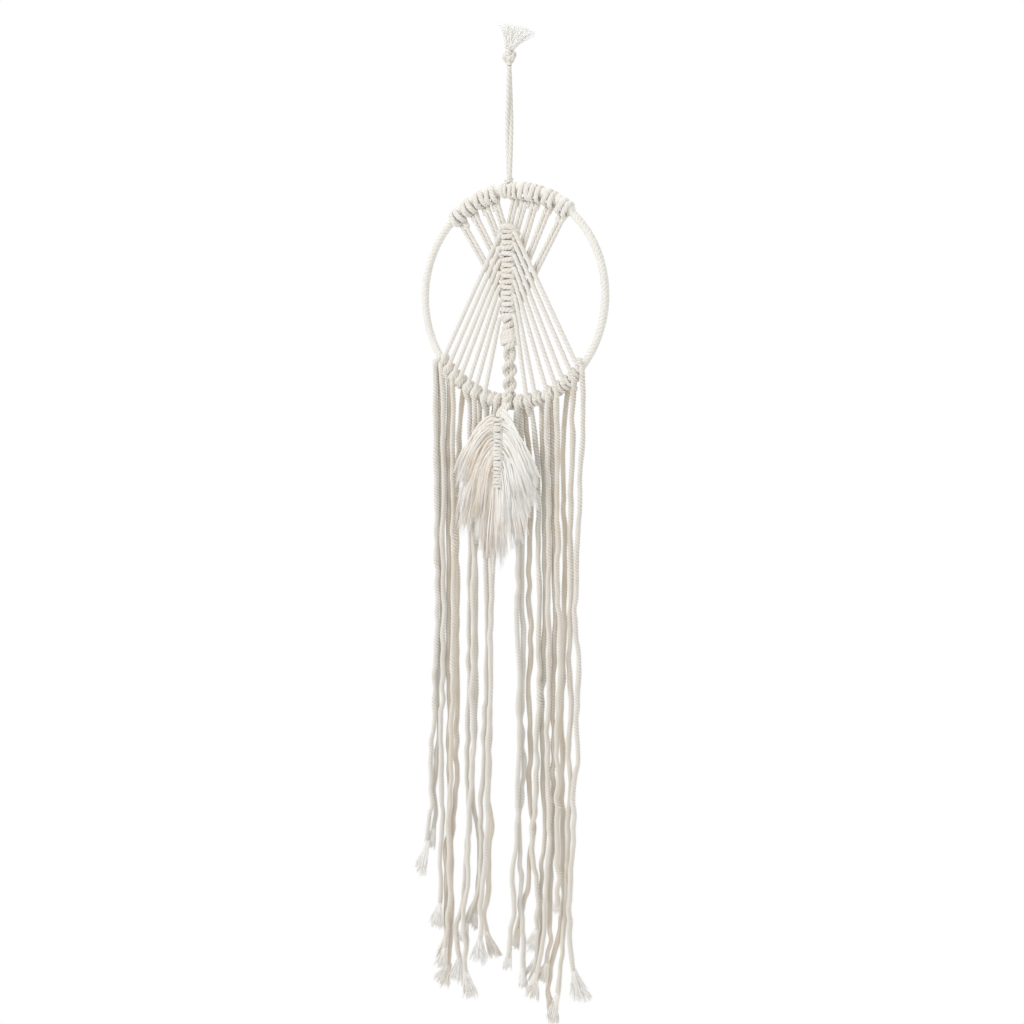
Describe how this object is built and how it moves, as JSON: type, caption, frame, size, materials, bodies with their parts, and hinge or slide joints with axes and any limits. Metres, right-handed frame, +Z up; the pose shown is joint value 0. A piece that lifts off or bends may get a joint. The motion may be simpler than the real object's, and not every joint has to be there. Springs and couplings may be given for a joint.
{
  "type": "dream catcher",
  "caption": "Macrame wall hanging: a cord-wrapped hoop with a knotted spine, two fans of taut cords, a brushed feather and a long fringe of twisted cords.",
  "frame": {"origin": "where the hanging loop rests on its hook, just under the top knot", "axes": "+Z up, +X to the right seen from the front, -Y towards the viewer at the front"},
  "size_m": [0.1708, 0.0229, 0.7825],
  "materials": {
    "hanging_cord": "three-strand twisted cotton cord",
    "wound_cord": "cotton cord wound side by side",
    "knotted_cord": "knotted cotton cord",
    "taut_cord": "stretched cotton cord",
    "fringe_cord": "limp three-strand twisted cotton cord",
    "brushed_fibre": "combed-out cotton fibre",
    "ring_steel": "plain welded wire ring"
  },
  "bodies": {
    "top_knot": {"hanging_knot": "knotted_cord", "hanging_tuft": "brushed_fibre"},
    "hanging_loop": {"hanging_leg_left": "hanging_cord", "hanging_leg_right": "hanging_cord"},
    "hanger": {"hanger_hitch": "knotted_cord"},
    "hoop": {"hoop_ring": "ring_steel", "hoop_wrap": "wound_cord", "larks_head_knots": "knotted_cord", "warp_pairs_left": "taut_cord", "warp_pair_centre": "taut_cord", "warp_pairs_right": "taut_cord", "spine_core": "taut_cord", "spine_square_knots": "knotted_cord", "spine_twist_knots": "knotted_cord", "fan_strand_left_1": "taut_cord", "fan_strand_left_2": "taut_cord", "fan_strand_left_3": "taut_cord", "fan_strand_left_4": "taut_cord", "fan_strand_left_5": "taut_cord", "fan_strand_left_6": "taut_cord", "fan_strand_left_7": "taut_cord", "fan_strand_right_1": "taut_cord", "fan_strand_right_2": "taut_cord", "fan_strand_right_3": "taut_cord", "fan_strand_right_4": "taut_cord", "fan_strand_right_5": "taut_cord", "fan_strand_right_6": "taut_cord", "fan_strand_right_7": "taut_cord", "hem_hitches_left": "knotted_cord", "hem_hitches_right": "knotted_cord", "hem_hitch_centre": "knotted_cord"},
    "left_fringe": {"fringe_left_01": "fringe_cord", "fringe_left_02": "fringe_cord", "fringe_left_03": "fringe_cord", "fringe_left_04": "fringe_cord", "fringe_left_05": "fringe_cord", "fringe_left_06": "fringe_cord", "fringe_left_07": "fringe_cord", "fringe_left_08": "fringe_cord", "fringe_left_09": "fringe_cord", "fringe_left_10": "fringe_cord", "fringe_left_11": "fringe_cord", "fringe_left_12": "fringe_cord"},
    "right_fringe": {"fringe_right_01": "fringe_cord", "fringe_right_02": "fringe_cord", "fringe_right_03": "fringe_cord", "fringe_right_04": "fringe_cord", "fringe_right_05": "fringe_cord", "fringe_right_06": "fringe_cord", "fringe_right_07": "fringe_cord", "fringe_right_08": "fringe_cord", "fringe_right_09": "fringe_cord", "fringe_right_10": "fringe_cord", "fringe_right_11": "fringe_cord"},
    "feather_cords": {"feather_hanger": "taut_cord"},
    "feather": {"feather_core": "taut_cord", "feather_knots": "knotted_cord", "feather_barbs_left": "brushed_fibre", "feather_barbs_right": "brushed_fibre"}
  },
  "joints": [
    {"name": "hanger_sway", "type": "hinge", "parent": "top_knot", "child": "hanging_loop", "pos_m": [0, 0, 0], "axis": [0, 1, 0], "range_deg": [-20, 20]},
    {"name": "hanger_twist", "type": "hinge", "parent": "hanging_loop", "child": "hanger", "pos_m": [0, 0, -0.087], "axis": [0, 0, 1], "range_deg": [-90, 90], "stiffness_Nm_per_rad": 0.0006},
    {"name": "hoop_swing", "type": "hinge", "parent": "hanger", "child": "hoop", "pos_m": [0, 0, -0.092], "axis": [1, 0, 0], "range_deg": [-30, 30]},
    {"name": "left_fringe_swing", "type": "hinge", "parent": "hoop", "child": "left_fringe", "pos_m": [0, -0.0007, -0.267], "axis": [1, 0, 0], "range_deg": [0, 35]},
    {"name": "right_fringe_swing", "type": "hinge", "parent": "hoop", "child": "right_fringe", "pos_m": [0, 0, -0.267], "axis": [1, 0, 0], "range_deg": [0, 35]},
    {"name": "feather_swing", "type": "hinge", "parent": "hoop", "child": "feather_cords", "pos_m": [0.002, -0.0084, -0.2545], "axis": [1, 0, 0], "range_deg": [-45, 0]},
    {"name": "feather_sway", "type": "hinge", "parent": "feather_cords", "child": "feather", "pos_m": [-0.0015, -0.012, -0.2624], "axis": [0, 1, 0], "range_deg": [-15, 15]}
  ]
}
